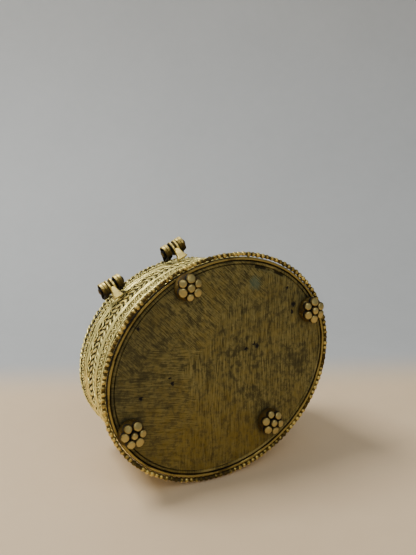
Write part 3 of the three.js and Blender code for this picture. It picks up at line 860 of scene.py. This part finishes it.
collar_edge = collar_radius * 0.93
outline = [(0, collar_low - 0.3), (collar_edge, collar_low - 0.3), (collar_edge, collar_low + 0.7)]
outline += [(collar_radius * 0.8, collar_low + 1.2), (collar_radius * 0.66, collar_high - 0.3)]
outline += [(collar_radius * 0.5, collar_high), (0, collar_high)]
collar = turned(outline, 48)
set_wear(collar, lambda co: 0.25 + (co.z - collar_low) * 0.3)
bead_ring = 22
for i in range(bead_ring):
    turn = 2 * math.pi * i / bead_ring
    reach = collar_radius - 0.85
    bead_place = Matrix.Translation((reach * math.cos(turn), reach * math.sin(turn), collar_low + 0.75))
    bead = bmesh.ops.create_uvsphere(collar, u_segments=10, v_segments=7, radius=0.9, matrix=bead_place)
    wear = collar.verts.layers.float["wear"]
    for vert in bead["verts"]:
        vert[wear] = min(max(0.15 + (vert.co.z - collar_low) * 0.55, 0), 1)
bmesh.ops.translate(collar, vec=(0, middle_y, 0), verts=collar.verts)
uneven(collar, 0.1, 2)
finish_piece("collar_beaded", collar, thread_brass, "lid", "thread_brass", "knob_collar", sharp=60)

knob_height = knob_high - knob_low
profile = [(0, 0), (0.55, -0.02), (0.52, 0.1), (0.6, 0.16), (0.82, 0.24), (0.96, 0.34), (1, 0.46)]
profile += [(0.93, 0.58), (0.78, 0.7), (0.56, 0.81), (0.36, 0.88), (0.27, 0.92), (0.3, 0.95)]
profile += [(0.2, 0.99), (0, 1)]
knob = turned([(radius * knob_radius, knob_low + share * knob_height) for radius, share in profile], 64)
bmesh.ops.subdivide_edges(knob, edges=knob.edges, cuts=1, smooth=0.7)
wear = knob.verts.layers.float["wear"]
for vert in knob.verts:
    turn = math.atan2(vert.co.y, vert.co.x)
    share = (vert.co.z - knob_low) / knob_height
    lobes = abs(math.cos(4 * turn)) ** 0.5 * max(0, math.sin(math.pi * min(max((share - 0.14) / 0.74, 0), 1)))
    vert.co.xy *= 0.93 + 0.07 * lobes
    vert[wear] = 0.25 + 0.7 * lobes * min(vert.co.xy.length / knob_radius + 0.2, 1)
bmesh.ops.translate(knob, vec=(0, middle_y, 0), verts=knob.verts)
bmesh.ops.recalc_face_normals(knob, faces=knob.faces)
finish_piece("knob_bud", knob, knob_brass, "lid", "knob_brass", "knob", sharp=70)

# ---------------------------------------------------------------- hinge straps
# Each strap is a flat ribbon of wax bent round the pin into a loop, with both its tails pressed onto the
# skirt of the lid. The hollow inside the loop is painted black, as shade.
ribbon = 0.95


def strap_course():
    """The middle line of the ribbon in the plane across the pin: lower tail, round the eye, upper tail."""
    root_y = middle_y + half_width - wall_lean + 1.2
    eye = knuckle_radius - ribbon / 2
    points = [Vector((0, root_y, hinge_z + 3.4)), Vector((0, root_y + 0.8, hinge_z + 2.4))]
    for i in range(21):
        turn = math.radians(200 + 235 * i / 20)
        points.append(Vector((0, hinge_y + eye * math.cos(turn), hinge_z + eye * math.sin(turn))))
    points += [Vector((0, hinge_y - 1.4, hinge_z + 3.6)), Vector((0, root_y, hinge_z + 5.4))]
    return points


for side in ("left", "right"):
    for part in ("inner", "outer"):
        node = f"strap_{side}_{part}"
        strap_low, strap_high = (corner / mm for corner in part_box(node))
        x = (strap_low.x + strap_high.x) / 2
        width = strap_high.x - strap_low.x
        points = strap_course()
        strap = start_strip()
        # two threads pressed together make the ribbon, with a groove between them
        for half in (-1, 1):
            stations = []
            for i, point in enumerate(points):
                heading = points[min(i + 1, len(points) - 1)] - points[max(i - 1, 0)]
                place = point + along_pin * (x + half * width / 4)
                stations.append(station(place, heading, along_pin, width / 2 + 0.1, ribbon))
            draw_bar(strap, stations)
        bmesh.ops.recalc_face_normals(strap, faces=strap.faces)
        wear = strap.verts.layers.float["wear"]
        for vert in strap.verts:
            reach = math.hypot(vert.co.y - hinge_y, vert.co.z - hinge_z)
            outward = (vert.co.y - hinge_y) / knuckle_radius
            # painted shade: the inside of the loop is given the soot black
            vert[wear] = min(max(0.5 + 0.42 * outward, 0.12), 1) if reach > knuckle_radius - 0.3 else 0.05
        uneven(strap, 0.14, 2.2)
        bent = finish_piece(node + "_ribbon", strap, hinge_brass, "lid", "hinge_brass", node, sharp=50)
        ease_corners(bent, 0.32, 60)

# ---------------------------------------------------------------- thumb tab
# A small tongue at the foot of the skirt, opposite the hinges, to lift the lid by.
tab_low, tab_high = (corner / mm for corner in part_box("thumb_tab"))
tongue = start_strip()
blank = Matrix.Translation((tab_low + tab_high) / 2) @ Matrix.Diagonal((*(tab_high - tab_low), 1))
bmesh.ops.create_cube(tongue, size=1, matrix=blank)
front = []
for edge in tongue.edges:
    start, end = (vert.co for vert in edge.verts)
    if max(start.y, end.y) < tab_low.y + 0.1 and abs(start.z - end.z) > 1:
        front.append(edge)
bmesh.ops.bevel(tongue, geom=front, offset=3.2, segments=8, profile=0.5, affect="EDGES", material=-1)
rims = [edge for edge in tongue.edges if edge.calc_face_angle(0) > 1]
bmesh.ops.bevel(tongue, geom=rims, offset=0.45, segments=3, profile=0.5, affect="EDGES", material=-1)
bmesh.ops.subdivide_edges(tongue, edges=tongue.edges, cuts=2, use_grid_fill=True)
set_wear(tongue, lambda co: 0.9 - (co.y - tab_low.y) * 0.14)
uneven(tongue, 0.12, 2)
finish_piece("thumb_tongue", tongue, knob_brass, "lid", "hinge_brass", "thumb_tab", sharp=60)

# ---------------------------------------------------------------- cups
# Six small spice cups of thin brass, spun on a lathe, with a rolled rim and fine rings left by the tool.


def spun_cup_brass():
    material, place = start_finish("spun_cup_brass")
    sockets = {"Vector": place, "Scale": (0.05, 0.05, 3)}
    rings = mottle(place.add("ShaderNodeMapping", {"vector_type": "POINT"}, sockets), 1, 3)
    cloud = mottle(place, 6, 3, 0.6)
    grain = mottle(place, 0.6, 2)
    wear = worn(place)
    dull = ramp(cloud + grain * 0.2, 0.5, 0.75)
    colour = mixed(dull * 0.7, (0.62, 0.41, 0.13), (0.3, 0.18, 0.05))
    colour = mixed(ramp(wear, 0.6, 1), colour, (0.82, 0.62, 0.28))
    colour = mixed(ramp(wear, 0.35, 0.05) * 0.75, colour, (0.1, 0.065, 0.025))
    roughness = 0.3 + dull * 0.25 + rings * 0.1
    return apply_finish(material, colour, roughness, 1 - dull * 0.15, rings * 0.7 + grain * 0.3, 0.03)


cup_brass = spun_cup_brass()
rolled_rim = [(0.15, 8), (0.15, 1.6), (0, 1.3), (-0.05, 0.7), (0.15, 0.15), (0.55, 0)]
rolled_rim += [(0.9, 0.3), (1.05, 1), (1.05, 8)]
for number in range(1, 7):
    node = f"cup_{number}"
    cup_low, cup_high = (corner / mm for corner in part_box(f"cup_{number}"))
    radius = (cup_high.x - cup_low.x) / 2
    foot, rim = cup_low.z, cup_high.z
    bends = [math.radians(15 * i) for i in range(7)]
    outline = [(0, foot + 0.25), (radius * 0.6, foot + 0.2), (radius - 2.4, foot)]
    outline += [(radius - 2.35 + 2.2 * math.sin(a), foot + 2.2 - 2.2 * math.cos(a)) for a in bends]
    outline += [(radius - inwards, rim - down) for inwards, down in rolled_rim]
    outline += [(radius - 2.35 + 1.3 * math.sin(a), foot + 2.2 - 1.3 * math.cos(a)) for a in bends[::-1]]
    outline += [(radius * 0.5, foot + 0.95), (0, foot + 1.05)]
    cup = turned(outline, 56)
    wear = cup.verts.layers.float["wear"]
    for vert in cup.verts:
        # inside, each cup is darker towards its bottom
        inside = 0.1 + 0.02 * (vert.co.z - foot)
        vert[wear] = 1 if vert.co.z > rim - 1.7 else 0.5 if vert.co.xy.length > radius - 0.8 else inside
    middle = (cup_low + cup_high) / 2
    bmesh.ops.translate(cup, vec=(middle.x, middle.y, 0), verts=cup.verts)
    uneven(cup, 0.1, 7)
    finish_piece("spun_" + node, cup, cup_brass, node, "cup_brass", node, sharp=50)

# ---------------------------------------------------------------- spoon
# A round scoop hammered from sheet brass, with a flat handle that rests its end on the floor of the box.
spoon_low, spoon_high = (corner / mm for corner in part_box("spoon"))
bowl_radius = (spoon_high.y - spoon_low.y) / 2
bowl_x = spoon_low.x + bowl_radius
sheet = 1
arc = [math.radians(9 * i) for i in range(11)]
hollow = bowl_radius - sheet
outline = [(bowl_radius * math.sin(a), bowl_radius * (1 - math.cos(a))) for a in arc]
outline += [(hollow * math.sin(a), bowl_radius - hollow * math.cos(a)) for a in reversed(arc)]
spoon = turned(outline, 40)
wear = spoon.verts.layers.float["wear"]
handle_start = bowl_radius - sheet / 2
handle_end = spoon_high.x - bowl_x
stations = []
for i in range(13):
    share = i / 12
    width = 4.4 * (0.62 + 0.38 * share ** 0.7) * (1 if i < 12 else 0.72)
    height = hollow * (1 - share) + 0.1 * math.sin(math.pi * share) + sheet / 2
    place = Vector((handle_start + (handle_end - handle_start) * share, 0, height))
    thick = sheet * (1 if 0 < i < 12 else 0.8)
    stations.append(station(place, Vector((1, 0, 0)), Vector((0, 1, 0)), width, thick))
draw_bar(spoon, stations)
bmesh.ops.recalc_face_normals(spoon, faces=spoon.faces)
set_wear(spoon, lambda co: 0.75 if co.xy.length > handle_start + 0.2 or co.z > bowl_radius - 0.3 else 0.4)
bmesh.ops.translate(spoon, vec=(bowl_x, (spoon_low.y + spoon_high.y) / 2, spoon_low.z), verts=spoon.verts)
uneven(spoon, 0.06, 3)
scoop = finish_piece("scoop_spoon", spoon, cup_brass, "spoon", "cup_brass", "spoon", sharp=50)
ease_corners(scoop, 0.25, 55)

# ---------------------------------------------------------------- floor and light
# The box lies on the edge of its beads and the rope of its lid, on a pale floor that sweeps up behind it.
# The sweep is seen from its upper side only. A large soft lamp hangs up and to the left.
lie_heading = Vector((0.3946, -0.919, 0))
rim_touch = Vector((0, middle_y, 6.5)) + lie_heading * 47.6
rope_touch = Vector((0, middle_y, 56)) + lie_heading * 42.2
level_heading = Vector((0.919, 0.3946, 0))
floor_up = level_heading.cross(rope_touch - rim_touch).normalized()
if floor_up.dot(lie_heading) > 0:
    floor_up.negate()
deep = -(towards_camera - floor_up * towards_camera.dot(floor_up)).normalized()
sideways = deep.cross(floor_up)


def sweep_paint():
    material, place = start_finish("sweep_paint")
    tree = material.node_tree
    depth = how_far("DOT_PRODUCT", place, tuple(deep)) - rim_touch.dot(deep)
    cloud = mottle(place, 60, 3) * 0.6 + mottle(place, 9, 3) * 0.4
    near = mixed(cloud, (0.7, 0.52, 0.32), (0.78, 0.6, 0.39))
    far = mixed(cloud, (0.4, 0.415, 0.42), (0.47, 0.485, 0.49))
    colour = mixed(ramp(depth, 85, 150), near, far)
    apply_finish(material, colour, cloud * 0.1 + 0.6, 0, cloud, 0.02)
    shader = tree.nodes["Principled BSDF"]
    behind = place.add("ShaderNodeNewGeometry", {}, {}, 6)
    clear = place.add("ShaderNodeBsdfTransparent", {}, {})
    shown = place.add("ShaderNodeMixShader", {}, {0: behind, 1: Tone(tree, shader.outputs[0]), 2: clear})
    tree.links.new(shown.socket, tree.nodes["Material Output"].inputs["Surface"])
    return material


sweep = bmesh.new()
curve_start, curve_radius, wall_height = 0.2, 0.25, 1.4
profile = [(-0.7, 0), (curve_start, 0)]
profile += [
    (curve_start + curve_radius * math.sin(a), curve_radius * (1 - math.cos(a)))
    for a in (math.radians(6 * i) for i in range(1, 16))
]
profile += [(curve_start + curve_radius, wall_height)]
near_side = rim_touch * mm - sideways * 1.5
corners = [sweep.verts.new(near_side + deep * along + floor_up * up) for along, up in profile]
lines = [sweep.edges.new(pair) for pair in zip(corners, corners[1:])]
grown = bmesh.ops.extrude_edge_only(sweep, edges=lines)["geom"]
grown_corners = [part for part in grown if isinstance(part, bmesh.types.BMVert)]
bmesh.ops.translate(sweep, vec=sideways * 3, verts=grown_corners)
bmesh.ops.recalc_face_normals(sweep, faces=sweep.faces)
sweep.faces.ensure_lookup_table()
if sweep.faces[0].normal.dot(floor_up) < 0:
    bmesh.ops.reverse_faces(sweep, faces=sweep.faces)
sweep_mesh = bpy.data.meshes.new("floor_sweep")
sweep.to_mesh(sweep_mesh)
sweep.free()
sweep_mesh.shade_smooth()
sweep_mesh.materials.append(sweep_paint())
floor_sweep = bpy.data.objects.new("floor_sweep", sweep_mesh)
floor_sweep.visible_shadow = False
bpy.context.scene.collection.objects.link(floor_sweep)

world = bpy.data.worlds.new("studio")
world.use_nodes = True
world.node_tree.nodes["Background"].inputs["Color"].default_value = (0.62, 0.65, 0.68, 1)
world.node_tree.nodes["Background"].inputs["Strength"].default_value = 0.42
bpy.context.scene.world = world

camera_right = camera_turn.col[0]
camera_up = camera_turn.col[1]
centre = Vector((0, middle_y * mm, 0.035))


def soft_lamp(name, right, up, back, size, watts, colour):
    """A square lamp that faces the box, placed as seen by the camera, in metres."""
    data = bpy.data.lights.new(name, "AREA")
    data.shape = "SQUARE"
    data.size = size
    data.energy = watts
    data.color = colour
    lamp = bpy.data.objects.new(name, data)
    offset = camera_right * right + camera_up * up + towards_camera * back
    facing = offset.to_track_quat("Z", "Y").to_matrix().to_4x4()
    lamp.matrix_world = Matrix.Translation(centre + offset) @ facing
    bpy.context.scene.collection.objects.link(lamp)


soft_lamp("key_lamp", -0.5, 0.8, 0.1, 0.35, 8, (1, 0.98, 0.94))
soft_lamp("side_lamp", -0.9, 0.2, 0.35, 0.3, 1.2, (1, 0.98, 0.94))
soft_lamp("front_lamp", 0.3, 0.6, 0.9, 0.6, 2.8, (1, 0.97, 0.92))
soft_lamp("under_lamp", 0.2, -0.9, -0.3, 0.6, 2.2, (1, 0.8, 0.5))
